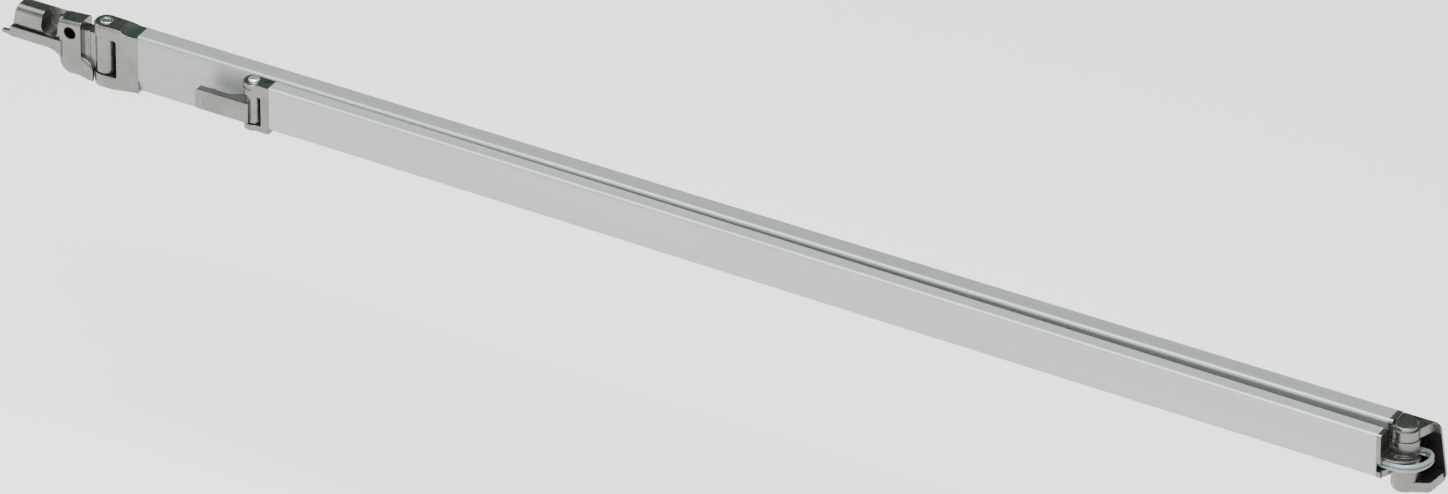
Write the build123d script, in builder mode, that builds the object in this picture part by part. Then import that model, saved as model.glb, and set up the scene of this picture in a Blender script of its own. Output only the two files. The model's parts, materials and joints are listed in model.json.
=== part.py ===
import os
from math import asin, cos, degrees, radians, sin

from build123d import *

# Folding arm of an awning, in its folded position. Millimetres, +Z up.
# The origin is the middle of the bracket's fixing hole. The arm runs along +X and opens towards -Y.

# The two arms
UPPER_LENGTH = 1511.0  # shoulder pin to elbow pin, along X
FORE_LENGTH = 1321.0  # elbow pin to front pin, along the forearm
UPPER_WIDTH = 24.0
UPPER_HEIGHT = 68.0
UPPER_WALL = 1.8
UPPER_RADIUS = 4.2
BEVEL_IN = 5.0  # the lower front of the upper arm leans in by this much
BEVEL_UP = 17.0  # and starts this far up
FORE_WIDTH = 18.0
FORE_TOP = 34.0  # above the arm's middle height
FORE_BOTTOM = -16.0
FORE_WALL = 1.6
FORE_RADIUS = 3.4

# Hinge lines
BOLT_TO_PIN = 38.0  # fixing hole to shoulder pin
BOLT_RISE = 13.0  # fixing hole above the arm's middle height
CABLE_TURN = 27.0  # elbow pin to the middle of a cable, and to the middle of the forearm
REST_GAP = 0.8  # folded arms, at the front fork
FORK_BACK = 9.6  # flat back of the front fork behind its pin
ELBOW_SETBACK = 6.5  # elbow pin in front of the upper arm's middle plane
FRONT_SETBACK = UPPER_WIDTH / 2 + REST_GAP + FORK_BACK
FOLD_ANGLE = degrees(asin((ELBOW_SETBACK + CABLE_TURN - FRONT_SETBACK) / FORE_LENGTH))

# Fits
SLIP = 0.02  # pins and screws in the part that holds them
RUN = 0.06  # pins turning in bushes
PLUG_CLEAR = 0.15  # plugs in the extrusions
THRUST = 0.15  # beside a bush flange

# Screws on the back faces
SCREW = 2.5
SCREW_HEAD = 5.0

# Castings
PLUG = 40.0  # length of each plug inside its extrusion
UPPER_START = 44.0  # upper arm's extrusion, from the shoulder pin
UPPER_STOP = 18.0  # its other end, short of the elbow pin
FORE_START = 22.0  # forearm's extrusion, from the front pin
FORE_STOP = 14.5  # its other end, short of the elbow pin
COLLAR = 4.5
COLLAR_GROW = 0.35

# Shoulder
SHOULDER_PIN = 5.5
SHOULDER_EAR = 13.5
SHOULDER_TOP = UPPER_HEIGHT / 2
SHOULDER_BOTTOM = -UPPER_HEIGHT / 2 - 4.0
GAP_TOP = 20.5
GAP_BOTTOM = -24.0
GAP_DEPTH = 18.5
TONGUE = 12.0
BUSH_FLANGE = 1.2
BUSH_WALL = 1.6
BUSH_LENGTH = 12.0
BLOCK_END = -25.0
BLOCK_START = -50.0
HOOD_START = -107.0
HOOD_RADIUS = 7.5
BOLT_HOLE = 6.5
NOTCH = (-72.2, -52.4)

# Elbow
ELBOW_PIN = 7.0
DRUM = 15.0
HUB = 9.8
DRUM_TOP = 17.6
DRUM_BOTTOM = -28.3
EAR_UNDER = 18.4
EAR_TOP = 29.0
BOSS = 12.0
BOSS_TOP = 33.5
BOSS_CHAMFER = 0.9
LOW_EAR_TOP = -29.1
LOW_EAR_BOTTOM = -UPPER_HEIGHT / 2 - 6.0
SET_LEVEL = (LOW_EAR_TOP + LOW_EAR_BOTTOM) / 2  # the screw that holds the pin
ELBOW_FLANGE = 0.6
CABLE = 2.1
CABLE_LEVELS = (-1.3, -5.9)
CABLE_MIDDLE = (CABLE_LEVELS[0] + CABLE_LEVELS[1]) / 2
ANCHOR = 12.0  # length of the cables' block in the forearm
TIGHT_TURN = 11.0  # second bend of a cable, into the upper arm
TURN_END = 8.0  # angle where the first bend becomes the second
GUIDE_TOP = 1.3
GUIDE_BOTTOM = -8.6
GUIDE_FLANGE = 2.0  # thickness of its top flange
GUIDE_LIP = 2.2  # how far the flange reaches over the cables

# Front
FRONT_PIN = 4.5
FRONT_EAR = 11.5
KNUCKLE = 9.4
FORK_TOP = 33.0
FORK_BOTTOM = -21.0
FORK_GAP = (-14.5, 20.0)
PLATE_END = -62.0
PLATE = (-14.5, -5.5)  # front and back of the connector's plate
PLATE_LEVELS = (-11.5, 11.0)
STUD = 4.0
STUD_HEAD = 10.5
STUD_AT = -46.0
STUD_LEVEL = -0.5

# Spring
WIRE = 1.4
COIL = 7.6
COIL_PITCH = 9.0
COIL_TURNS = 40
SPRING_START = 112.0

shoulder = Plane(origin=(BOLT_TO_PIN, 0, -BOLT_RISE))
elbow = Plane(origin=(BOLT_TO_PIN + UPPER_LENGTH, -ELBOW_SETBACK, -BOLT_RISE))
fold = radians(FOLD_ANGLE)
forearm = Plane(origin=elbow.origin, x_dir=(cos(fold), -sin(fold), 0), z_dir=(0, 0, 1))
front_point = forearm.from_local_coords((-FORE_LENGTH, -CABLE_TURN, 0))
front_fork_frame = Plane(origin=front_point, x_dir=forearm.x_dir, z_dir=(0, 0, 1))
bar = Plane(origin=front_point)  # stays parallel to the wall


def across(frame, x):
    """Plane square to the frame's x: its own x is the frame's y, its own y is up."""
    return Plane(origin=frame.from_local_coords((x, 0, 0)), x_dir=frame.y_dir, z_dir=frame.x_dir)


def facing(frame, y):
    """Plane seen from the front: its own x is the frame's x, its own y is up."""
    return Plane(origin=frame.from_local_coords((0, y, 0)), x_dir=frame.x_dir, z_dir=-frame.y_dir)


def slab(frame, xs, ys, zs, mode=Mode.ADD):
    """Adds a straight block between the given limits of a frame."""
    with BuildSketch(frame.offset(zs[0])) as base:
        with Locations(((xs[0] + xs[1]) / 2, (ys[0] + ys[1]) / 2)):
            Rectangle(xs[1] - xs[0], ys[1] - ys[0])
    extrude(base.sketch, amount=zs[1] - zs[0], mode=mode)


def disc(frame, radius, zs, at=(0, 0), mode=Mode.ADD):
    """Adds an upright round piece of a frame."""
    with BuildSketch(frame.offset(zs[0])) as base:
        with Locations(at):
            Circle(radius)
    extrude(base.sketch, amount=zs[1] - zs[0], mode=mode)


def plate(plane, points, thickness, radius=0.0, both=False, mode=Mode.ADD):
    """Adds a plate with a straight-sided outline, its corners rounded if a radius is given."""
    with BuildSketch(plane) as base:
        with BuildLine():
            Polyline(*points, close=True)
        make_face()
        if radius:
            fillet(base.vertices(), radius=radius)
    extrude(base.sketch, amount=thickness, both=both, mode=mode)


def upper_section(x, inset=0.0):
    """Outline of the upper arm's extrusion, smaller all round by the inset."""
    half = UPPER_WIDTH / 2
    with BuildSketch(across(shoulder, x)) as section:
        with BuildLine():
            Polyline(
                (-half, UPPER_HEIGHT / 2),
                (half, UPPER_HEIGHT / 2),
                (half, -UPPER_HEIGHT / 2),
                (BEVEL_IN - half, -UPPER_HEIGHT / 2),
                (-half, BEVEL_UP - UPPER_HEIGHT / 2),
                close=True,
            )
        make_face()
        fillet(section.vertices(), radius=UPPER_RADIUS)
        if inset:
            offset(amount=-inset, mode=Mode.REPLACE)
    return section.sketch


def fore_section(x, inset=0.0):
    """Outline of the forearm's extrusion, smaller all round by the inset."""
    with BuildSketch(across(forearm, x)) as section:
        with Locations((-CABLE_TURN, (FORE_TOP + FORE_BOTTOM) / 2)):
            RectangleRounded(FORE_WIDTH - 2 * inset, FORE_TOP - FORE_BOTTOM - 2 * inset, FORE_RADIUS - inset / 2)
    return section.sketch


def back_places(frame, x, y, levels):
    """Places on a back face, pointing outwards, one above the other."""
    return [Plane(origin=frame.from_local_coords((x, y, z)), z_dir=frame.y_dir) for z in levels]


def countersinks(places):
    """Countersunk holes for the screws of a joint."""
    with Locations(*places):
        CounterSinkHole(radius=SCREW + SLIP, counter_sink_radius=SCREW_HEAD, depth=9, counter_sink_angle=90)


def screws(places):
    """Countersunk screws with a hexagon socket, flush with their places."""
    head = SCREW_HEAD - SCREW
    top = (Align.CENTER, Align.CENTER, Align.MAX)
    with Locations(*places):
        Cone(bottom_radius=SCREW - SLIP, top_radius=SCREW_HEAD - 2 * SLIP, height=head, align=top)
        Cylinder(radius=SCREW - SLIP, height=7, align=top)
    for place in places:
        with BuildSketch(place) as socket:
            RegularPolygon(radius=1.7, side_count=6)
        extrude(socket.sketch, amount=-1.6, mode=Mode.SUBTRACT)


def flanged_bush(frame, face, inner, flange, thickness, length, up):
    """A bush whose flange lies on a face and whose sleeve goes into the hole behind it."""
    turn = 1 if up else -1
    disc(frame, flange, sorted((face, face + turn * thickness)))
    disc(frame, inner + BUSH_WALL, sorted((face, face - turn * length)))
    disc(frame, inner + RUN, sorted((face + turn * thickness, face - turn * length)), mode=Mode.SUBTRACT)


def circlip(frame, groove, z):
    """An open retaining ring with two lugs."""
    disc(frame, groove + 3.0, (z, z + 1.0))
    disc(frame, 1.6, (z, z + 1.0), at=(-groove - 2.6, 2.6))
    disc(frame, 1.6, (z, z + 1.0), at=(-groove - 2.6, -2.6))
    disc(frame, groove + SLIP, (z, z + 1.0), mode=Mode.SUBTRACT)
    slab(frame, (-groove - 6, 0), (-1.4, 1.4), (z, z + 1.0), mode=Mode.SUBTRACT)


def save(part, name):
    part.label = name
    export_step(part, f"parts/{name}.step")


os.makedirs("parts", exist_ok=True)

upper_end = UPPER_LENGTH - UPPER_STOP
fore_start = -FORE_LENGTH + FORE_START
back = UPPER_WIDTH / 2
fore_back = -CABLE_TURN + FORE_WIDTH / 2
shoulder_screws = back_places(shoulder, UPPER_START + PLUG / 2, back, (16, -14))
elbow_screws = back_places(shoulder, upper_end - PLUG / 2, back, (18, -18))
knuckle_screws = back_places(forearm, -FORE_STOP - PLUG / 2, fore_back, (22, -11))
front_screws = back_places(forearm, fore_start + PLUG / 2, fore_back, (22, -6))


# ---------------------------------------------------------------- shoulder bracket
tongue_top = GAP_TOP - THRUST - BUSH_FLANGE
tongue_bottom = GAP_BOTTOM + THRUST + BUSH_FLANGE
half = UPPER_WIDTH / 2

with BuildPart() as shoulder_bracket:
    # block, its long top edges rounded
    with BuildSketch(facing(shoulder, 0)) as front:
        with BuildLine():
            Polyline((BLOCK_START, 26), (BLOCK_START, -34), (BLOCK_END, -34), (BLOCK_END, 28), close=True)
        make_face()
        fillet(front.vertices().group_by(Axis.Y)[0].sort_by(Axis.X)[0], radius=13)
    extrude(front.sketch, amount=half, both=True)
    top = shoulder_bracket.faces().sort_by(Axis.Z)[-1]
    fillet(top.edges().filter_by(lambda e: abs(e.tangent_at(0.5).X) > 0.9), radius=4.0)
    # hood: an upright-sided arch along the rail
    with BuildSketch(across(shoulder, HOOD_START)) as arch:
        with Locations((0, 13.5)):
            Rectangle(2 * half, 27)
        fillet(arch.vertices().group_by(Axis.Z)[-1], radius=HOOD_RADIUS)
    extrude(arch.sketch, amount=BLOCK_START - HOOD_START + 2)
    # its end leans back
    plate(
        facing(shoulder, 0),
        [(HOOD_START - 3, 2), (HOOD_START + 0.5, 2), (HOOD_START + 6, 30), (HOOD_START - 3, 30)],
        30,
        both=True,
        mode=Mode.SUBTRACT,
    )
    # notch, open at the top and the front
    with BuildSketch(facing(shoulder, 0)) as notch:
        with BuildLine():
            Polyline((NOTCH[0], 12), (NOTCH[0] + 4, 40), (NOTCH[1] + 2, 40), (NOTCH[1], 12))
            ThreePointArc((NOTCH[1], 12), ((NOTCH[0] + NOTCH[1]) / 2, 1.4), (NOTCH[0], 12))
        make_face()
    extrude(notch.sketch, amount=30, mode=Mode.SUBTRACT)
    extrude(notch.sketch, amount=-(half - 3.5), mode=Mode.SUBTRACT)
    disc(shoulder, 2.6, (3, 23), at=(NOTCH[1] - 2.2, 1.5))
    # base rail, a little proud of the hood, with a pointed fin
    rail = [(-109, 1), (-109, -10.5), (-64, -10.5), (-56, -12), (-48, -18), (-48, 1)]
    plate(facing(shoulder, 0), rail, half + 1.6, both=True)
    fin = [(-103, -0.5), (-110, -4.4), (-118.6, -5.2), (-119.6, -7), (-117.5, -8.6), (-104, -10.4)]
    plate(facing(shoulder, -half + 2.4), fin, 4.0)
    # tongue
    slab(shoulder, (BLOCK_END - 1, -4), (-7.2, 7.2), (tongue_bottom, tongue_top))
    plate(
        facing(shoulder, -6.5),
        [(BLOCK_END - 1, -12), (-19, -13), (-14, -16), (-12, tongue_bottom), (BLOCK_END - 1, tongue_bottom)],
        4.4,
    )
    disc(shoulder, TONGUE, (tongue_bottom, tongue_top))
    # foot, hollowed round the fork's ear
    plate(
        facing(shoulder, 0),
        [(BLOCK_END - 1, -14), (BLOCK_END + 4, -17), (-15, -20), (-11, -24), (-11, -36.5), (-16, -36.5), (BLOCK_END - 1, -34)],
        half,
        both=True,
    )
    disc(shoulder, SHOULDER_EAR + 0.8, (-40, tongue_bottom), mode=Mode.SUBTRACT)
    disc(shoulder, 1.7, (-12.5, tongue_top), at=(-17.2, -7.6), mode=Mode.SUBTRACT)
    # bore for pin and bushes
    disc(shoulder, SHOULDER_PIN + BUSH_WALL + SLIP, (tongue_bottom, tongue_top), mode=Mode.SUBTRACT)
    # fixing hole with a chamfered mouth at both ends
    with BuildSketch(Plane.XZ.offset(-half - 3)) as hole:
        Circle(BOLT_HOLE)
    extrude(hole.sketch, amount=2 * half + 6, mode=Mode.SUBTRACT)
    mouths = shoulder_bracket.edges().filter_by(GeomType.CIRCLE).filter_by(lambda e: abs(e.radius - BOLT_HOLE) < 0.01)
    chamfer(mouths.filter_by(lambda e: abs(abs(e.center().Y) - half) < 0.1), length=1.0)
save(shoulder_bracket.part, "shoulder_bracket")

with BuildPart() as shoulder_bushes:
    flanged_bush(shoulder, tongue_top, SHOULDER_PIN, 10.5, BUSH_FLANGE, BUSH_LENGTH, True)
    flanged_bush(shoulder, tongue_bottom, SHOULDER_PIN, 10.5, BUSH_FLANGE, BUSH_LENGTH, False)
save(shoulder_bushes.part, "shoulder_bushes")

# ---------------------------------------------------------------- shoulder fork and pin
with BuildPart() as shoulder_fork:
    with BuildSketch(shoulder.offset(SHOULDER_BOTTOM)) as plan:
        Circle(SHOULDER_EAR)
        with BuildLine():
            Polyline(
                (0, -SHOULDER_EAR),
                (14, -SHOULDER_EAR + 0.3),
                (UPPER_START, -half - 0.2),
                (UPPER_START, half + 0.2),
                (14, SHOULDER_EAR - 0.3),
                (0, SHOULDER_EAR),
                close=True,
            )
        make_face()
    extrude(plan.sketch, amount=SHOULDER_TOP - SHOULDER_BOTTOM)
    rim = shoulder_fork.faces().sort_by(Axis.Z)[-1].edges().filter_by(
        lambda e: e.center().X < BOLT_TO_PIN + UPPER_START - 0.5
    )
    chamfer(rim, length=1.8)
    # the dip in front of the extrusion
    with BuildSketch(facing(shoulder, 0)) as dip:
        with BuildLine():
            ThreePointArc((20, SHOULDER_TOP + 0.6), (33, SHOULDER_TOP - 2.6), (UPPER_START + 0.1, SHOULDER_TOP - 2.0))
            Polyline(
                (UPPER_START + 0.1, SHOULDER_TOP - 2.0), (UPPER_START + 0.1, 60), (20, 60), (20, SHOULDER_TOP + 0.6)
            )
        make_face()
    extrude(dip.sketch, amount=30, both=True, mode=Mode.SUBTRACT)
    # its underside rises to the extrusion
    plate(
        facing(shoulder, 0),
        [
            (SHOULDER_EAR, SHOULDER_BOTTOM - 1),
            (SHOULDER_EAR, SHOULDER_BOTTOM),
            (UPPER_START - COLLAR, -UPPER_HEIGHT / 2 - COLLAR_GROW),
            (UPPER_START + 1, -UPPER_HEIGHT / 2 - COLLAR_GROW),
            (UPPER_START + 1, SHOULDER_BOTTOM - 1),
        ],
        30,
        both=True,
        mode=Mode.SUBTRACT,
    )
    # the fork's gap
    with BuildSketch(facing(shoulder, 0)) as gap:
        with Locations(((GAP_DEPTH - 30) / 2, (GAP_TOP + GAP_BOTTOM) / 2)):
            RectangleRounded(GAP_DEPTH + 30, GAP_TOP - GAP_BOTTOM, 3)
    extrude(gap.sketch, amount=30, both=True, mode=Mode.SUBTRACT)
    extrude(upper_section(UPPER_START - 1, UPPER_WALL + PLUG_CLEAR), amount=PLUG + 1)
    disc(shoulder, SHOULDER_PIN + SLIP, (SHOULDER_BOTTOM, SHOULDER_TOP), mode=Mode.SUBTRACT)
    countersinks(shoulder_screws)
    # threaded socket for the spring's anchor
    with BuildSketch(across(shoulder, UPPER_START + PLUG - 14)) as socket:
        with Locations((0, CABLE_MIDDLE)):
            Circle(4.0 + SLIP)
    extrude(socket.sketch, amount=20, mode=Mode.SUBTRACT)
save(shoulder_fork.part, "shoulder_fork")

with BuildPart() as shoulder_fork_screws:
    screws(shoulder_screws)
save(shoulder_fork_screws.part, "shoulder_fork_screws")

with BuildPart() as shoulder_pin:
    disc(shoulder, SHOULDER_PIN, (SHOULDER_BOTTOM - 4, SHOULDER_TOP))
    disc(shoulder, 6.75, (SHOULDER_TOP, SHOULDER_TOP + 1.3))
    chamfer(shoulder_pin.edges().sort_by(Axis.Z)[-1], length=0.4)
    disc(shoulder, 4.2, (SHOULDER_TOP + 0.5, SHOULDER_TOP + 2), mode=Mode.SUBTRACT)
    disc(shoulder, SHOULDER_PIN + 1, (SHOULDER_BOTTOM - 1.1, SHOULDER_BOTTOM), mode=Mode.SUBTRACT)
    disc(shoulder, SHOULDER_PIN - 0.8, (SHOULDER_BOTTOM - 2, SHOULDER_BOTTOM + 1))
save(shoulder_pin.part, "shoulder_pin")

with BuildPart() as shoulder_circlip:
    circlip(shoulder, SHOULDER_PIN - 0.8, SHOULDER_BOTTOM - 1.05)
save(shoulder_circlip.part, "shoulder_circlip")

# ---------------------------------------------------------------- upper arm
with BuildPart() as upper_arm_profile:
    extrude(upper_section(UPPER_START), amount=upper_end - UPPER_START)
    extrude(upper_section(UPPER_START, UPPER_WALL), amount=upper_end - UPPER_START, mode=Mode.SUBTRACT)
    countersinks(shoulder_screws + elbow_screws)
save(upper_arm_profile.part, "upper_arm_profile")

spring_end = SPRING_START + COIL_TURNS * COIL_PITCH

with BuildPart() as spring_anchor:
    with BuildSketch(across(shoulder, UPPER_START + PLUG - 13)) as stem:
        with Locations((0, CABLE_MIDDLE)):
            Circle(4.0)
    extrude(stem.sketch, amount=SPRING_START + 12 - UPPER_START - PLUG + 13)
    with BuildSketch(across(shoulder, SPRING_START - 8)) as plug:
        with Locations((0, CABLE_MIDDLE)):
            Circle(COIL - WIRE - 0.05)
    extrude(plug.sketch, amount=20)
    with BuildSketch(across(shoulder, SPRING_START - 8)) as shoulder_ring:
        with Locations((0, CABLE_MIDDLE)):
            Circle(COIL + WIRE)
    extrude(shoulder_ring.sketch, amount=5)
save(spring_anchor.part, "spring_anchor")

with BuildPart() as tension_spring:
    coil_plane = Plane(
        origin=shoulder.from_local_coords((SPRING_START, 0, CABLE_MIDDLE)), x_dir=(0, 1, 0), z_dir=(1, 0, 0)
    )
    coil = Helix(
        pitch=COIL_PITCH, height=COIL_TURNS * COIL_PITCH, radius=COIL, center=coil_plane.origin, direction=(1, 0, 0)
    )
    with BuildSketch(Plane(origin=coil @ 0, z_dir=coil % 0)) as wire:
        Circle(WIRE)
    sweep(wire.sketch, path=coil, is_frenet=True)
save(tension_spring.part, "tension_spring")

cable_line = TIGHT_TURN + (CABLE_TURN - TIGHT_TURN) * sin(radians(TURN_END))
cable_upper_y = cable_line - ELBOW_SETBACK  # where the cables run inside the upper arm
yoke_start = spring_end + 1.0

with BuildPart() as cable_yoke:
    with BuildSketch(across(shoulder, yoke_start + 2)) as body:
        with Locations((1.0, CABLE_MIDDLE)):
            RectangleRounded(16.0, 19.0, 2)
    extrude(body.sketch, amount=26)
    with BuildSketch(across(shoulder, yoke_start - 13)) as plug:
        with Locations((0, CABLE_MIDDLE)):
            Circle(COIL - WIRE - 0.05)
    extrude(plug.sketch, amount=16)
    for level in CABLE_LEVELS:
        with BuildSketch(across(shoulder, yoke_start + 10)) as groove:
            with Locations((cable_upper_y, level)):
                Circle(CABLE + SLIP)
        extrude(groove.sketch, amount=30, mode=Mode.SUBTRACT)
save(cable_yoke.part, "cable_yoke")


# ---------------------------------------------------------------- cables
CABLE_END = FORE_STOP + PLUG + ANCHOR - 3
anchor_end = -FORE_STOP - PLUG - ANCHOR
anchor_half = FORE_WIDTH / 2 - FORE_WALL - 0.9


def make_cable(level):
    """One cable: out of the forearm, round the elbow and back along the upper arm."""
    turn = radians(TURN_END)
    centre = ((CABLE_TURN - TIGHT_TURN) * cos(turn), (CABLE_TURN - TIGHT_TURN) * sin(turn))
    start = -fold - radians(90)
    with BuildPart() as cable:
        with BuildLine(elbow.offset(level)) as route:
            CenterArc((0, 0), CABLE_TURN, degrees(start), TURN_END - degrees(start))
            CenterArc(centre, TIGHT_TURN, TURN_END, 90 - TURN_END)
            Line(
                (centre[0], centre[1] + TIGHT_TURN),
                (yoke_start + 12 - UPPER_LENGTH, centre[1] + TIGHT_TURN),
            )
            first = (CABLE_TURN * cos(start), CABLE_TURN * sin(start))
            Line((first[0] - CABLE_END * cos(fold), first[1] + CABLE_END * sin(fold)), first)
        line = route.line
        with BuildSketch(Plane(origin=line @ 0, z_dir=line % 0)) as ring:
            Circle(CABLE)
        sweep(ring.sketch, path=line)
    return cable.part


save(make_cable(CABLE_LEVELS[0]), "cable_upper")
save(make_cable(CABLE_LEVELS[1]), "cable_lower")

# ---------------------------------------------------------------- elbow fork and pin
near = ELBOW_SETBACK - half  # front face of the upper arm, seen from the elbow pin
far = ELBOW_SETBACK + half  # and its back face
wall_top = far + 3.6
wall_low = far + 10.6

with BuildPart() as elbow_fork:
    # back wall, leaning out towards its foot
    plate(
        across(elbow, -13.5),
        [(wall_top - 3.0, EAR_TOP), (wall_top, EAR_TOP), (wall_low, LOW_EAR_BOTTOM), (wall_low - 3.0, LOW_EAR_BOTTOM)],
        48,
    )
    with BuildSketch(facing(elbow, 0)) as side:
        with BuildLine():
            Polyline((-13.5, EAR_TOP), (27.5, EAR_TOP), (32.5, LOW_EAR_BOTTOM), (-13.5, LOW_EAR_BOTTOM), close=True)
        make_face()
        fillet(side.vertices().sort_by(Axis.X)[-2:], radius=8)
    extrude(side.sketch, amount=60, both=True, mode=Mode.INTERSECT)
    # collar
    extrude(upper_section(upper_end, -COLLAR_GROW), amount=COLLAR)
    # upper ear
    with BuildSketch(elbow.offset(EAR_UNDER)) as ear:
        Circle(14)
        with BuildLine():
            Polyline(
                (-14, near), (-14, far), (-12, wall_top), (20, wall_top), (19.7, far + 1), (13.8, 3.2), (0, 0), close=True
            )
        make_face()
    extrude(ear.sketch, amount=EAR_TOP - EAR_UNDER)
    # concave ramp from the collar down to the ear
    with BuildSketch(facing(elbow, near)) as ramp:
        with BuildLine():
            ThreePointArc((-14, 33.5), (-12.4, 30.4), (-8.5, EAR_TOP))
            Polyline((-8.5, EAR_TOP), (-8.5, EAR_TOP - 3), (-14, EAR_TOP - 3), (-14, 33.5))
        make_face()
    extrude(ramp.sketch, amount=-(far - near))
    # boss over the pin
    disc(elbow, BOSS, (EAR_TOP, BOSS_TOP - BOSS_CHAMFER))
    with BuildSketch(elbow.offset(BOSS_TOP - BOSS_CHAMFER)) as boss:
        Circle(BOSS)
    extrude(boss.sketch, amount=BOSS_CHAMFER, taper=45)
    # lower ear
    with BuildSketch(elbow.offset(LOW_EAR_BOTTOM)) as low_ear:
        Circle(13.5)
        with Locations((19.5, 5.0)):
            Circle(8.5)
        with BuildLine():
            Polyline((0, -13.5), (21.0, -3.2), (28.5, 8), (30, wall_low - 2), (-14, wall_low - 3), (-14, near), close=True)
        make_face()
    extrude(low_ear.sketch, amount=LOW_EAR_TOP - LOW_EAR_BOTTOM)
    # relief for the cable guide's sweep
    with BuildSketch(elbow.offset(GUIDE_BOTTOM - 1)) as relief:
        Circle(CABLE_TURN - 2.2)
        with Locations((-30, 0)):
            Rectangle(34, 60, mode=Mode.SUBTRACT)
    extrude(relief.sketch, amount=17, mode=Mode.SUBTRACT)
    disc(elbow, DRUM + 0.4, (LOW_EAR_TOP, EAR_UNDER), mode=Mode.SUBTRACT)
    # plug, with a slot for the cables
    extrude(upper_section(upper_end - PLUG, UPPER_WALL + PLUG_CLEAR), amount=PLUG + 1)
    slab(
        elbow,
        (-UPPER_STOP - PLUG - 1, -UPPER_STOP + COLLAR + 1),
        (cable_line - CABLE - 0.5, far - UPPER_WALL - 0.2),
        (CABLE_LEVELS[1] - CABLE - 0.5, CABLE_LEVELS[0] + CABLE + 0.5),
        mode=Mode.SUBTRACT,
    )
    disc(elbow, ELBOW_PIN + SLIP, (LOW_EAR_BOTTOM, BOSS_TOP - 2.5), mode=Mode.SUBTRACT)
    countersinks(elbow_screws)
    with BuildSketch(facing(elbow, -ELBOW_PIN + 1)) as grub:
        with Locations((0, SET_LEVEL)):
            Circle(2.5 + SLIP)
    extrude(grub.sketch, amount=-40, mode=Mode.SUBTRACT)
save(elbow_fork.part, "elbow_fork")

with BuildPart() as elbow_fork_screws:
    screws(elbow_screws)
save(elbow_fork_screws.part, "elbow_fork_screws")

with BuildPart() as elbow_pin:
    disc(elbow, ELBOW_PIN, (LOW_EAR_BOTTOM + 0.3, BOSS_TOP - 2.7))
    chamfer(elbow_pin.edges().filter_by(GeomType.CIRCLE), length=0.6)
save(elbow_pin.part, "elbow_pin")

with BuildPart() as elbow_set_screw:
    with BuildSketch(facing(elbow, ELBOW_PIN + 0.05)) as grub:
        with Locations((0, SET_LEVEL)):
            Circle(2.5)
    extrude(grub.sketch, amount=-14)
    with BuildSketch(facing(elbow, ELBOW_PIN + 14.05)) as socket:
        with Locations((0, SET_LEVEL)):
            RegularPolygon(radius=1.4, side_count=6)
    extrude(socket.sketch, amount=3, mode=Mode.SUBTRACT)
save(elbow_set_screw.part, "elbow_set_screw")

# ---------------------------------------------------------------- elbow knuckle
guide_at = (-2.5, -3.5)
guide_edge = CABLE_TURN - CABLE - 0.3  # straight part of the guide, inside the cables
wedge = [(-9.5, -8), (0, 0), (32 * cos(radians(22)), -32 * sin(radians(22))), (32, -40), (-9.5, -40)]


def guide_plan(z, radius, edge):
    """Plan of the cable guide: a straight run from the collar, then a round part up to a square end."""
    with BuildSketch(forearm.offset(z)) as plan:
        with Locations(guide_at):
            Circle(radius)
        with BuildLine():
            Polyline(*wedge, close=True)
        make_face(mode=Mode.INTERSECT)
        with Locations(((-FORE_STOP + guide_at[0]) / 2, -(8 + edge) / 2)):
            Rectangle(FORE_STOP + guide_at[0], edge - 8)
    return plan.sketch


with BuildPart() as elbow_knuckle:
    disc(forearm, DRUM - 0.4, (GUIDE_TOP, DRUM_TOP))
    disc(forearm, DRUM, (DRUM_BOTTOM, GUIDE_BOTTOM))
    disc(forearm, HUB, (GUIDE_BOTTOM, GUIDE_TOP))
    extrude(guide_plan(GUIDE_BOTTOM, guide_edge + guide_at[1], guide_edge), amount=GUIDE_TOP - GUIDE_BOTTOM)
    extrude(
        guide_plan(GUIDE_TOP, guide_edge + guide_at[1] + GUIDE_LIP, guide_edge + GUIDE_LIP), amount=GUIDE_FLANGE
    )
    # web from the drum to the collar
    slab(forearm, (-FORE_STOP, 0), (-DRUM + 0.4, -8), (FORE_BOTTOM, DRUM_TOP - 7))
    # web under the cables
    plate(forearm.offset(FORE_BOTTOM), [(-FORE_STOP, -33), (-10, -33), (-6, -26), (-4, -13), (-FORE_STOP, -13)], 7.4)
    # collar and plug
    extrude(fore_section(-FORE_STOP, -COLLAR_GROW), amount=COLLAR + 0.5)
    extrude(fore_section(-FORE_STOP - PLUG, FORE_WALL + PLUG_CLEAR), amount=PLUG + 1)
    # groove in the guide's top, beside the drum
    with BuildSketch(forearm.offset(GUIDE_TOP)) as groove:
        Circle(21.0)
        Circle(18.6, mode=Mode.SUBTRACT)
        with BuildLine():
            Polyline((0, 0), (30 * cos(radians(32)), -30 * sin(radians(32))), (10, -40), (0, -40), close=True)
        make_face(mode=Mode.INTERSECT)
    extrude(groove.sketch, amount=GUIDE_FLANGE, mode=Mode.SUBTRACT)
    # dimple in the guide's top
    disc(forearm, 3.6, (GUIDE_TOP + 0.4, GUIDE_TOP + 4), at=(-1.0, -20.2), mode=Mode.SUBTRACT)
    # way through for the cables
    slab(
        forearm,
        (-FORE_STOP - PLUG - 1, -FORE_STOP + COLLAR + 0.6),
        (-CABLE_TURN - FORE_WIDTH, -guide_edge),
        (CABLE_LEVELS[1] - CABLE - 0.6, GUIDE_TOP),
        mode=Mode.SUBTRACT,
    )
    # bore: bushes above and below, clear of the pin between them
    disc(forearm, ELBOW_PIN + 0.4, (DRUM_BOTTOM, DRUM_TOP), mode=Mode.SUBTRACT)
    for ends in ((DRUM_TOP - BUSH_LENGTH, DRUM_TOP), (DRUM_BOTTOM, DRUM_BOTTOM + BUSH_LENGTH)):
        disc(forearm, ELBOW_PIN + BUSH_WALL + SLIP, ends, mode=Mode.SUBTRACT)
    countersinks(knuckle_screws)
save(elbow_knuckle.part, "elbow_knuckle")

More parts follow.
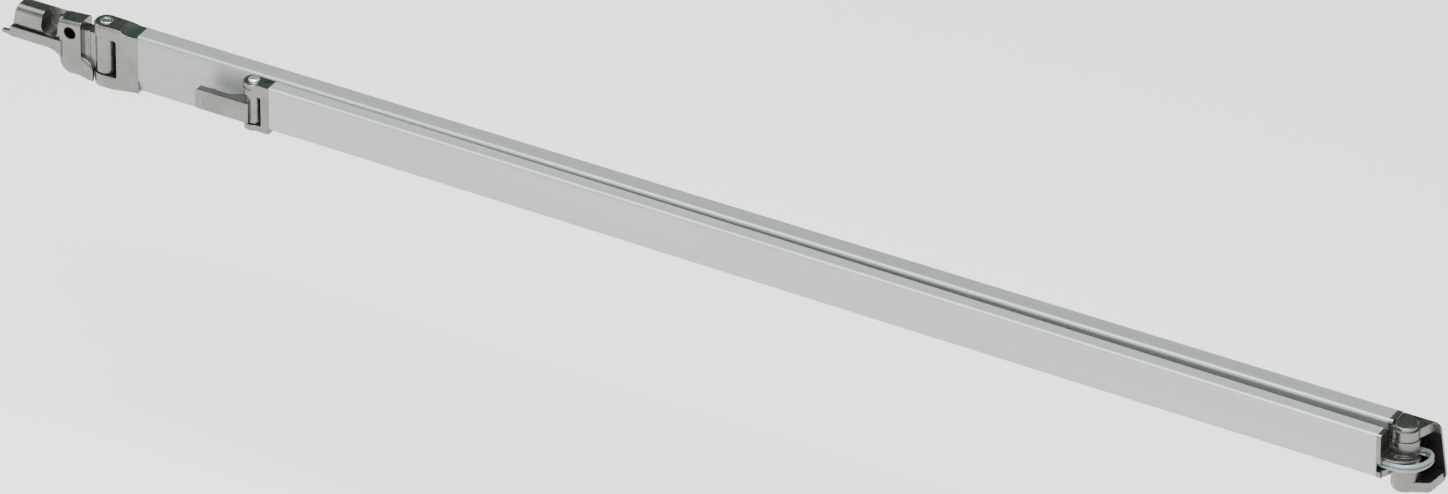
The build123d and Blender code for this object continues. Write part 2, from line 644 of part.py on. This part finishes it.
with BuildPart() as elbow_knuckle_screws:
    screws(knuckle_screws)
save(elbow_knuckle_screws.part, "elbow_knuckle_screws")

with BuildPart() as elbow_bushes:
    flanged_bush(forearm, DRUM_TOP, ELBOW_PIN, 12, ELBOW_FLANGE, BUSH_LENGTH, True)
    flanged_bush(forearm, DRUM_BOTTOM, ELBOW_PIN, 12, ELBOW_FLANGE, BUSH_LENGTH, False)
save(elbow_bushes.part, "elbow_bushes")

with BuildPart() as cable_anchor:
    slab(
        forearm,
        (anchor_end, -FORE_STOP - PLUG - 0.05),
        (-CABLE_TURN - anchor_half, -CABLE_TURN + anchor_half),
        (CABLE_LEVELS[1] - 6.5, CABLE_LEVELS[0] + 6.5),
    )
    for level in CABLE_LEVELS:
        with BuildSketch(across(forearm, anchor_end - 1)) as bore:
            with Locations((-CABLE_TURN, level)):
                Circle(CABLE + SLIP)
        extrude(bore.sketch, amount=20, mode=Mode.SUBTRACT)
save(cable_anchor.part, "cable_anchor")

# ---------------------------------------------------------------- forearm
with BuildPart() as forearm_profile:
    extrude(fore_section(fore_start), amount=-FORE_STOP - fore_start)
    extrude(fore_section(fore_start, FORE_WALL), amount=-FORE_STOP - fore_start, mode=Mode.SUBTRACT)
    countersinks(knuckle_screws + front_screws)
save(forearm_profile.part, "forearm_profile")

# ---------------------------------------------------------------- front fork and pin
with BuildPart() as front_fork:
    with BuildSketch(front_fork_frame.offset(FORK_BOTTOM)) as plan:
        Circle(FRONT_EAR)
        with Locations((FORE_START / 2, 0)):
            Rectangle(FORE_START, 2 * FORK_BACK)
        with Locations((0, FORK_BACK + 10)):
            Rectangle(40, 20, mode=Mode.SUBTRACT)
    extrude(plan.sketch, amount=FORK_TOP - FORK_BOTTOM)
    chamfer(front_fork.faces().sort_by(Axis.Z)[-1].edges(), length=0.8)
    # a groove round the upper ear
    with BuildSketch(front_fork_frame.offset(26.6)) as band:
        Rectangle(60, 60)
        Circle(FRONT_EAR - 1.1, mode=Mode.SUBTRACT)
        with Locations((FORE_START - 6, 0)):
            Rectangle(26, 60, mode=Mode.SUBTRACT)
    extrude(band.sketch, amount=2.0, mode=Mode.SUBTRACT)
    with BuildSketch(facing(front_fork_frame, 0)) as gap:
        with Locations((13 - 20, (FORK_GAP[0] + FORK_GAP[1]) / 2)):
            RectangleRounded(40, FORK_GAP[1] - FORK_GAP[0], 2)
    extrude(gap.sketch, amount=30, both=True, mode=Mode.SUBTRACT)
    extrude(fore_section(fore_start - 1, FORE_WALL + PLUG_CLEAR), amount=PLUG + 1)
    disc(front_fork_frame, FRONT_PIN + SLIP, (FORK_BOTTOM, FORK_TOP), mode=Mode.SUBTRACT)
    countersinks(front_screws)
save(front_fork.part, "front_fork")

with BuildPart() as front_fork_screws:
    screws(front_screws)
save(front_fork_screws.part, "front_fork_screws")

with BuildPart() as front_pin:
    disc(front_fork_frame, FRONT_PIN, (FORK_BOTTOM - 3.5, FORK_TOP))
    disc(front_fork_frame, 5.8, (FORK_TOP, FORK_TOP + 2.6))
    fillet(front_pin.edges().filter_by(GeomType.CIRCLE).sort_by(Axis.Z)[-1], radius=2.2)
    disc(front_fork_frame, FRONT_PIN + 1, (FORK_BOTTOM - 1.1, FORK_BOTTOM), mode=Mode.SUBTRACT)
    disc(front_fork_frame, FRONT_PIN - 0.7, (FORK_BOTTOM - 2, FORK_BOTTOM + 1))
save(front_pin.part, "front_pin")

with BuildPart() as front_circlip:
    circlip(front_fork_frame, FRONT_PIN - 0.7, FORK_BOTTOM - 1.05)
save(front_circlip.part, "front_circlip")

# ---------------------------------------------------------------- front connector
knuckle_ends = (FORK_GAP[0] + 0.15 + 0.8, FORK_GAP[1] - 0.15 - 0.8)

with BuildPart() as front_connector:
    disc(bar, KNUCKLE, knuckle_ends)
    slab(bar, (PLATE_END, 0.5), PLATE, PLATE_LEVELS)
    fillet(front_connector.edges().filter_by(Axis.Y).sort_by(Axis.X)[:2], radius=2.5)
    # web from the plate to the knuckle
    with BuildSketch(bar.offset(PLATE_LEVELS[0])) as web:
        with BuildLine():
            Polyline((-27, PLATE[0]), (-27, PLATE[1]), (-8.5, 5), (1, 5), (0.5, PLATE[0]), close=True)
        make_face()
    extrude(web.sketch, amount=PLATE_LEVELS[1] - PLATE_LEVELS[0])
    # shallow round sink in the plate's face
    with BuildSketch(facing(bar, PLATE[0] + 0.5)) as sink:
        with Locations((STUD_AT, STUD_LEVEL)):
            Circle(7.5)
    extrude(sink.sketch, amount=5, mode=Mode.SUBTRACT)
    with BuildSketch(facing(bar, PLATE[1] + 1)) as bore:
        with Locations((STUD_AT, STUD_LEVEL)):
            Circle(STUD + SLIP)
    extrude(bore.sketch, amount=20, mode=Mode.SUBTRACT)
    disc(bar, FRONT_PIN + BUSH_WALL + SLIP, knuckle_ends, mode=Mode.SUBTRACT)
save(front_connector.part, "front_connector")

with BuildPart() as connector_stud:
    with BuildSketch(facing(bar, PLATE[1] + 7)) as shank:
        with Locations((STUD_AT, STUD_LEVEL)):
            Circle(STUD)
    extrude(shank.sketch, amount=PLATE[1] + 7 - PLATE[0] - 0.6)
    with BuildSketch(facing(bar, PLATE[1] + 2.5)) as head:
        with Locations((STUD_AT, STUD_LEVEL)):
            Circle(STUD_HEAD)
    extrude(head.sketch, amount=2.5 - SLIP)
    chamfer(connector_stud.edges().filter_by(GeomType.CIRCLE).sort_by(Axis.Y)[-1], length=0.8)
save(connector_stud.part, "connector_stud")

with BuildPart() as front_bushes:
    flanged_bush(bar, knuckle_ends[1], FRONT_PIN, 8.6, 0.8, 10, True)
    flanged_bush(bar, knuckle_ends[0], FRONT_PIN, 8.6, 0.8, 10, False)
save(front_bushes.part, "front_bushes")
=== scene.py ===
import json
import math

import bmesh
import bpy
from mathutils import Matrix, Vector


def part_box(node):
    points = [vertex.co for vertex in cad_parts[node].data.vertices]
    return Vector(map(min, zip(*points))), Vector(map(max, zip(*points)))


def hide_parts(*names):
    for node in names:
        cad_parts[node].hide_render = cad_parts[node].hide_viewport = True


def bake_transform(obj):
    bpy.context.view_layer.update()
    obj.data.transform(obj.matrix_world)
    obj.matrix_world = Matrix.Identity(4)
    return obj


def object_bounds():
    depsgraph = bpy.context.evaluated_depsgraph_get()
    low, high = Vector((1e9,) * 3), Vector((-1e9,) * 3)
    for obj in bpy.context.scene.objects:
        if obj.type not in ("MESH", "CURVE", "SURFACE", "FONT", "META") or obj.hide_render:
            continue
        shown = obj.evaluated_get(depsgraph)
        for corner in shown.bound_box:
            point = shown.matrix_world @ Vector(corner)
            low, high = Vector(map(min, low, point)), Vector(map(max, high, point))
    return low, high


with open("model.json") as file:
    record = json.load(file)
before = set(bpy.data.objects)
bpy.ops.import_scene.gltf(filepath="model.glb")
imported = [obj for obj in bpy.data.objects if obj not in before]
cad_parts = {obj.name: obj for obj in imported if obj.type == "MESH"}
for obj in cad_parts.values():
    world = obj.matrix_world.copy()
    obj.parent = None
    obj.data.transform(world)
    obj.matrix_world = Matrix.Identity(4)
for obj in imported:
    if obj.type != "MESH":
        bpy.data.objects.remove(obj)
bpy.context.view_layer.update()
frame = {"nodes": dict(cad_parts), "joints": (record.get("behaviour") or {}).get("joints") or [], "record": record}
MM = 0.001

# Hinge lines, from the record
hinges = {j["name"]: Vector(j.get("pos_m", (0, 0, 0))) for j in frame["joints"]}
elbow = hinges["elbow_hinge"]
front = hinges["front_hinge"]


# ---------------------------------------------------------------- shader maths
class Value:
    """A socket that takes part in sums. Each sum adds its Math node."""

    def __init__(self, bench, socket):
        self.bench = bench
        self.socket = socket

    def sum(self, operation, *others):
        inputs = dict(enumerate((self, *others)))
        return self.bench.node("ShaderNodeMath", {"operation": operation}, inputs)

    def __add__(self, other):
        return self.sum("ADD", other)

    def __mul__(self, other):
        return self.sum("MULTIPLY", other)

    def __sub__(self, other):
        return self.sum("SUBTRACT", other)

    def __rsub__(self, other):
        return self.bench.node("ShaderNodeMath", {"operation": "SUBTRACT"}, {0: other, 1: self})

    __radd__ = __add__

    def smooth(self, low, high):
        """0 below low, 1 above high, a soft step between."""
        settings = {"interpolation_type": "SMOOTHSTEP", "clamp": True}
        inputs = {"Value": self, "From Min": low, "From Max": high}
        return self.bench.node("ShaderNodeMapRange", settings, inputs)


# The Mix node's sockets for colours, which share their names with those for numbers
MIX_A, MIX_B, MIX_RESULT = 6, 7, 2


class Bench:
    """The node tree of a material or of the world."""

    def __init__(self, tree):
        self.tree = tree
        self.tree.nodes.clear()

    def link(self, source, target):
        """Joins a Value to a socket, or sets the socket to a plain value."""
        if isinstance(source, Value):
            self.tree.links.new(source.socket, target)
        elif hasattr(source, "__len__") and len(target.default_value) == 4 and len(source) == 3:
            target.default_value = (*source, 1.0)
        else:
            target.default_value = source

    def node(self, kind, settings=(), inputs=(), out=0):
        made = self.tree.nodes.new(kind)
        for key, setting in dict(settings).items():
            setattr(made, key, setting)
        for key, source in dict(inputs).items():
            self.link(source, made.inputs[key])
        return Value(self, made.outputs[out])

    def place(self):
        """The point in the object's own metres."""
        return self.node("ShaderNodeTexCoord", out="Object")

    def noise(self, scale, stretch=(1, 1, 1), detail=3.0):
        vector = self.node("ShaderNodeMapping", {}, {"Vector": self.place(), "Scale": stretch})
        inputs = {"Vector": vector, "Scale": scale, "Detail": detail}
        return self.node("ShaderNodeTexNoise", {"noise_dimensions": "3D"}, inputs)

    def mix(self, factor, a, b):
        """Colour a where factor is 0 and colour b where it is 1."""
        made = self.tree.nodes.new("ShaderNodeMix")
        made.data_type = "RGBA"
        self.link(factor, made.inputs["Factor"])
        self.link(a, made.inputs[MIX_A])
        self.link(b, made.inputs[MIX_B])
        return Value(self, made.outputs[MIX_RESULT])

    def share(self, vector, name):
        """A vector's share along the axis of this name."""
        return self.node("ShaderNodeSeparateXYZ", {}, {0: vector}, name)

    def axis(self, name):
        """The point's coordinate along an axis."""
        return self.share(self.place(), name)

    def facing(self, name):
        """The surface normal's share along an axis."""
        return self.share(self.node("ShaderNodeNewGeometry", out="Normal"), name)

    def bump(self, height, distance, strength=1.0, normal=None):
        inputs = {"Height": height, "Distance": distance, "Strength": strength}
        if normal:
            inputs["Normal"] = normal
        return self.node("ShaderNodeBump", {}, inputs)

    def rounded(self, radius):
        """The surface's normal, softened over its edges."""
        return self.node("ShaderNodeBevel", {"samples": 4}, {"Radius": radius})

    def finish(self, **sockets):
        shader = self.tree.nodes.new("ShaderNodeBsdfPrincipled")
        for key, source in sockets.items():
            self.link(source, shader.inputs[key.replace("_", " ")])
        output = self.tree.nodes.new("ShaderNodeOutputMaterial")
        self.tree.links.new(shader.outputs[0], output.inputs["Surface"])


def material(name):
    made = bpy.data.materials.new(name)
    made.use_nodes = True
    return made, Bench(made.node_tree)


# Near-black colour of painted shade, for holes and hollows where shade falls
PAINTED_SHADE_COLOUR = (0.012, 0.012, 0.011)


def cast_alloy(name, base, shade, rough, painted_shade_mask=None):
    """Die-cast alloy, tumbled and polished: soft mottling, fine grain and rubbed patches.
    Its last argument gives the share of painted shade at a point: a near-black colour, with rougher metal,
    standing in for the shade that falls in holes and hollows."""
    made, b = material(name)
    cloud = b.noise(38, detail=4)
    grain = b.noise(900, detail=2)
    rubbed = b.noise(120, stretch=(1, 1, 3), detail=5).smooth(0.55, 0.72)
    streaks = b.noise(260, stretch=(0.25, 1, 1), detail=3)
    colour = b.mix(cloud.smooth(0.32, 0.7), shade, base)
    colour = b.mix(rubbed * 0.35, colour, tuple(min(1.0, c * 1.12) for c in base))
    roughness = rough + cloud * 0.10 + grain * 0.06 - rubbed * 0.07
    # Painted shade: the colour goes near-black, and the metal rougher, where the mask says shade falls
    if painted_shade_mask:
        painted_shade_share = painted_shade_mask(b)
        colour = b.mix(painted_shade_share, colour, PAINTED_SHADE_COLOUR)
        roughness = roughness + painted_shade_share * 0.25
    height = grain * 0.6 + cloud * 0.5 + streaks * 0.25
    normal = b.bump(height, 0.00006, 0.3, b.rounded(0.0007))
    b.finish(Base_Color=colour, Metallic=1.0, Roughness=roughness, Normal=normal)
    return made


def drawn_extrusion(name, base, shade, rough):
    """Anodised extrusion: fine die lines along its length, soft clouds and light marks."""
    made, b = material(name)
    die = b.noise(1500, stretch=(0.004, 1, 1), detail=3)
    wide = b.noise(160, stretch=(0.01, 1, 1), detail=2)
    cloud = b.noise(7, stretch=(0.5, 1, 1), detail=3)
    scuff = b.noise(60, stretch=(0.5, 1, 2), detail=6).smooth(0.62, 0.78)
    colour = b.mix((die * 0.5 + wide * 0.5).smooth(0.35, 0.65), shade, base)
    colour = b.mix(cloud.smooth(0.3, 0.7) * 0.35, colour, shade)
    roughness = rough + die * 0.07 + cloud * 0.08 + scuff * 0.05
    normal = b.bump(die * 0.7 + wide * 0.5, 0.00006, 0.4, b.rounded(0.0005))
    b.finish(Base_Color=colour, Metallic=0.62, Roughness=roughness, Normal=normal)
    return made


def turned_steel(name, base, rough, rings=2600):
    """Turned and polished steel. rings is the scale of its turning marks."""
    made, b = material(name)
    fine = b.noise(rings, stretch=(1, 1, 0.2), detail=2)
    spots = b.noise(240, detail=4).smooth(0.6, 0.75)
    colour = b.mix(spots * 0.3, base, tuple(c * 0.75 for c in base))
    roughness = rough + fine * 0.08 + spots * 0.12
    normal = b.bump(fine, 0.00003, 0.3, b.rounded(0.0004))
    b.finish(Base_Color=colour, Metallic=1.0, Roughness=roughness, Normal=normal)
    return made


def moulded_plastic(name, base, rough):
    """Moulded plastic with a fine grain."""
    made, b = material(name)
    fine = b.noise(1400, detail=2)
    cloud = b.noise(90, detail=3)
    colour = b.mix(cloud.smooth(0.3, 0.7), base, tuple(c * 1.5 + 0.01 for c in base))
    normal = b.bump(fine, 0.00005, 0.4)
    b.finish(Base_Color=colour, Roughness=rough + fine * 0.1, Normal=normal)
    return made


# The strands' slant: the wave's radians for each metre along and each radian around
TWIST_ALONG, TWIST_AROUND = 420, 6


def coated_cable(name):
    """Clear-grey coating over steel strands, whose twist shows as soft slanting ridges."""
    made, b = material(name)
    along = b.node("ShaderNodeAttribute", {"attribute_name": "along"}, out="Fac")
    around = b.node("ShaderNodeAttribute", {"attribute_name": "around"}, out="Fac")
    twist = (along * TWIST_ALONG + around * TWIST_AROUND).sum("SINE") * 0.5 + 0.5
    cloud = b.noise(60, detail=4)
    colour = b.mix(twist * 0.35, (0.27, 0.31, 0.32), (0.13, 0.16, 0.17))
    colour = b.mix(cloud.smooth(0.35, 0.7) * 0.4, colour, (0.22, 0.25, 0.25))
    roughness = 0.26 + cloud * 0.12
    normal = b.bump(twist, 0.00012, 0.35)
    b.finish(Base_Color=colour, Metallic=0.35, Roughness=roughness, Normal=normal)
    return made


# Base colour, shade colour and roughness
CAST = ((0.215, 0.21, 0.198), (0.17, 0.167, 0.157), 0.24)
UPPER = ((0.35, 0.368, 0.36), (0.30, 0.318, 0.31), 0.38)
FORE = ((0.41, 0.43, 0.42), (0.36, 0.38, 0.37), 0.40)

# One finish for each material slot of the record
finishes = {
    "cast_metal": cast_alloy("cast_metal", *CAST),
    "upper_extrusion": drawn_extrusion("upper_extrusion", *UPPER),
    "fore_extrusion": drawn_extrusion("fore_extrusion", *FORE),
    "pin_steel": turned_steel("pin_steel", (0.62, 0.64, 0.62), 0.24),
    "pin_bright": turned_steel("pin_bright", (0.92, 0.92, 0.90), 0.30),
    "screw_steel": turned_steel("screw_steel", (0.52, 0.52, 0.51), 0.30, 1800),
    "spring_steel": turned_steel("spring_steel", (0.36, 0.36, 0.37), 0.30, 1500),
    "bush_plastic": moulded_plastic("bush_plastic", (0.02, 0.02, 0.022), 0.4),
    "cable_coat": coated_cable("cable_coat"),
}
for part in frame["record"]["subparts"]:
    shown = frame["nodes"][part["node"]]
    shown.data.materials.clear()
    shown.data.materials.append(finishes[part["material_slot"]])


def bore_painted_shade(b):
    """Painted shade inside the bracket's fixing hole, where the bore's wall lies in shade."""
    x, z = b.axis("X"), b.axis("Z")
    away = (x * x + z * z).sum("SQRT")
    return 1 - away.smooth(6.6 * MM, 7.2 * MM)


def wall_painted_shade(b):
    """Painted shade on the inner side of the elbow's back wall, between the ears."""
    inner = (0 - b.facing("Y")).smooth(0.3, 0.7)
    depth = (b.axis("Y") - elbow.y).smooth(14 * MM, 16 * MM)
    under = (0 - b.axis("Z") + elbow.z).smooth(-22 * MM, -16 * MM)
    return inner * depth * under * 0.92


def collar_painted_shade(b):
    """Painted shade on the elbow side of the forearm's collar."""
    near = 1 - (b.axis("X") - elbow.x).smooth(-9 * MM, -7 * MM)
    above = (b.axis("Z") - elbow.z).smooth(9 * MM, 14 * MM)
    return b.facing("X").smooth(0.6, 0.9) * near * above * 0.9


# Castings with painted shade in their holes and hollows, each with its own copy of the cast finish
for node, painted_shade_mask in (
    ("shoulder_bracket", bore_painted_shade),
    ("elbow_fork", wall_painted_shade),
    ("elbow_knuckle", collar_painted_shade),
):
    frame["nodes"][node].data.materials[0] = cast_alloy("cast_" + node, *CAST, painted_shade_mask)


# ---------------------------------------------------------------- cables
CABLE_RADIUS = 2.1 * MM
CABLE_SIDES = 24
TURN = 27 * MM  # radius of the turn round the elbow
TURN_END = math.radians(8)  # where the turn gives way to the tighter bend
TIGHT = 11 * MM  # radius of the bend into the upper arm
IN_FOREARM = 63.5 * MM  # length of the straight end in the forearm
END_STEPS, TURN_STEPS, BEND_STEPS, RUN_STEPS = 8, 40, 16, 20


def on_circle(radius, angle):
    return Vector((radius * math.cos(angle), radius * math.sin(angle), 0))


def cable_route(height, far_x):
    """Points along a cable's middle. The first list runs from the forearm round the elbow,
    the second along the upper arm to the yoke."""
    reach = front - elbow
    fold = math.atan2(reach.y, -reach.x) + math.asin(TURN / math.hypot(reach.x, reach.y))
    start = -math.pi / 2 - fold
    back = Vector((-math.cos(fold), math.sin(fold), 0))
    first = on_circle(TURN, start)
    points = [first + back * (IN_FOREARM * (1 - i / END_STEPS)) for i in range(END_STEPS)]
    sweep = TURN_END - start
    points += [on_circle(TURN, start + sweep * i / TURN_STEPS) for i in range(TURN_STEPS + 1)]
    centre = on_circle(1, TURN_END) * (TURN - TIGHT)
    bend = math.pi / 2 - TURN_END
    for i in range(1, BEND_STEPS + 1):
        points.append(centre + on_circle(TIGHT, TURN_END + bend * i / BEND_STEPS))
    last = points[-1]
    far = Vector((far_x - elbow.x, last.y, 0))
    run = [last.lerp(far, i / RUN_STEPS) for i in range(RUN_STEPS + 1)]
    place = Vector((elbow.x, elbow.y, height))
    return [p + place for p in points], [p + place for p in run]


def tube(name, points):
    """A round cable along these points, capped at both ends."""
    shape = bmesh.new()
    along = shape.verts.layers.float.new("along")
    around = shape.verts.layers.float.new("around")
    bmesh.ops.create_circle(shape, cap_ends=False, radius=CABLE_RADIUS, segments=CABLE_SIDES)
    ring = list(shape.verts)
    for i, v in enumerate(ring):
        v[around] = 2 * math.pi * i / len(ring)

    def stand(i):
        """Placing of a ring at point i: its z runs along the cable, its y is up."""
        z = (points[min(i + 1, len(points) - 1)] - points[max(i - 1, 0)]).normalized()
        y = Vector((0, 0, 1))
        turned = Matrix((y.cross(z), y, z)).transposed().to_4x4()
        turned.translation = points[i]
        return turned

    first = edges = list(shape.edges)
    bmesh.ops.transform(shape, matrix=stand(0), verts=ring)
    travelled = 0.0
    for i in range(1, len(points)):
        made = bmesh.ops.extrude_edge_only(shape, edges=edges)["geom"]
        ring = [g for g in made if isinstance(g, bmesh.types.BMVert)]
        edges = [g for g in made if isinstance(g, bmesh.types.BMEdge)]
        edges = [e for e in edges if all(v in ring for v in e.verts)]
        bmesh.ops.transform(shape, matrix=stand(i) @ stand(i - 1).inverted(), verts=ring)
        travelled += (points[i] - points[i - 1]).length
        for v in ring:
            v[along] = travelled
    bmesh.ops.contextual_create(shape, geom=edges)
    bmesh.ops.contextual_create(shape, geom=first)
    bmesh.ops.recalc_face_normals(shape, faces=shape.faces)
    mesh = bpy.data.meshes.new(name)
    shape.to_mesh(mesh)
    shape.free()
    for face in mesh.polygons:
        face.use_smooth = len(face.vertices) == 4
    piece = bpy.data.objects.new(name, mesh)
    bpy.context.scene.collection.objects.link(piece)
    mesh.materials.append(finishes["cable_coat"])
    return piece


for node in ("cable_upper", "cable_lower"):
    low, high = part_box(node)
    wrap_points, run_points = cable_route((low.z + high.z) / 2, low.x)
    wrap = tube(node + "_wrap", wrap_points)
    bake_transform(wrap)
    run = tube(node + "_run", run_points)
    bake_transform(run)
    for piece in (wrap, run):
        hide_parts(node)


# ---------------------------------------------------------------- floor and light
FLOOR_BELOW = 0.35
FLOOR_SIZE = 60
low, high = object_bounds()
middle = (low + high) / 2

floor_middle = (middle.x, middle.y, low.z - FLOOR_BELOW)
bpy.ops.mesh.primitive_plane_add(size=FLOOR_SIZE, location=floor_middle)
floor = bpy.context.object
floor.name = "floor"
made, b = material("pale_floor")
speckle = b.noise(30, detail=3)
b.finish(Base_Color=b.mix(speckle * 0.1, (0.92, 0.92, 0.92), (0.88, 0.88, 0.88)), Roughness=0.9)
floor.data.materials.append(made)

# A white studio with a dark green band at middle height, which the castings reflect
BAND_GREEN = (0.004, 0.075, 0.026)
STUDIO_STRENGTH = 1.4
world = bpy.data.worlds.new("studio")
bpy.context.scene.world = world
world.use_nodes = True
sky = Bench(world.node_tree)
height = sky.share(sky.node("ShaderNodeTexCoord", out="Generated"), "Z")
band = height.smooth(0.12, 0.30) * (1 - height.smooth(0.74, 0.86))
tone = sky.mix(band, (1.0, 1.0, 1.0), BAND_GREEN)
glow = sky.tree.nodes.new("ShaderNodeBackground")
sky.link(tone, glow.inputs["Color"])
glow.inputs["Strength"].default_value = STUDIO_STRENGTH
output = sky.tree.nodes.new("ShaderNodeOutputWorld")
sky.tree.links.new(glow.outputs[0], output.inputs["Surface"])


def soft_light(name, place, size, power):
    """A rectangular lamp, its size in metres and its power in watts, turned to the arm."""
    lamp = bpy.data.lights.new(name, "AREA")
    lamp.shape = "RECTANGLE"
    lamp.size, lamp.size_y = size
    lamp.energy = power
    made = bpy.data.objects.new(name, lamp)
    made.location = place
    made.rotation_euler = (middle - Vector(place)).to_track_quat("-Z", "Y").to_euler()
    bpy.context.scene.collection.objects.link(made)


soft_light("overhead", (0.8, -0.6, 3.2), (4.5, 2.5), 340)
soft_light("front_fill", (1.6, -3.4, 1.1), (4.0, 1.6), 80)
soft_light("left_fill", (-2.4, -1.2, 1.2), (2.0, 1.6), 40)

# ---------------------------------------------------------------- camera
AZIMUTH = math.radians(29.85)
ELEVATION = math.radians(32.35)
DISTANCE = 18.22
LENS = 450
CENTRE = Vector((806, -15, -13)) * MM
SHIFT_LEFT = 26.5 * MM
SHIFT_UP = 8.2 * MM
level = math.cos(ELEVATION)
backwards = Vector(
    (math.sin(AZIMUTH) * level, -math.cos(AZIMUTH) * level, math.sin(ELEVATION))
)
rightwards = Vector((math.cos(AZIMUTH), math.sin(AZIMUTH), 0))
upwards = backwards.cross(rightwards)
aim = CENTRE - rightwards * SHIFT_LEFT + upwards * SHIFT_UP
lens = bpy.data.cameras.new("camera")
lens.lens = LENS
lens.clip_end = 100
camera = bpy.data.objects.new("camera", lens)
camera.location = aim + backwards * DISTANCE
camera.rotation_euler = backwards.to_track_quat("Z", "Y").to_euler()
bpy.context.scene.collection.objects.link(camera)
bpy.context.scene.camera = camera
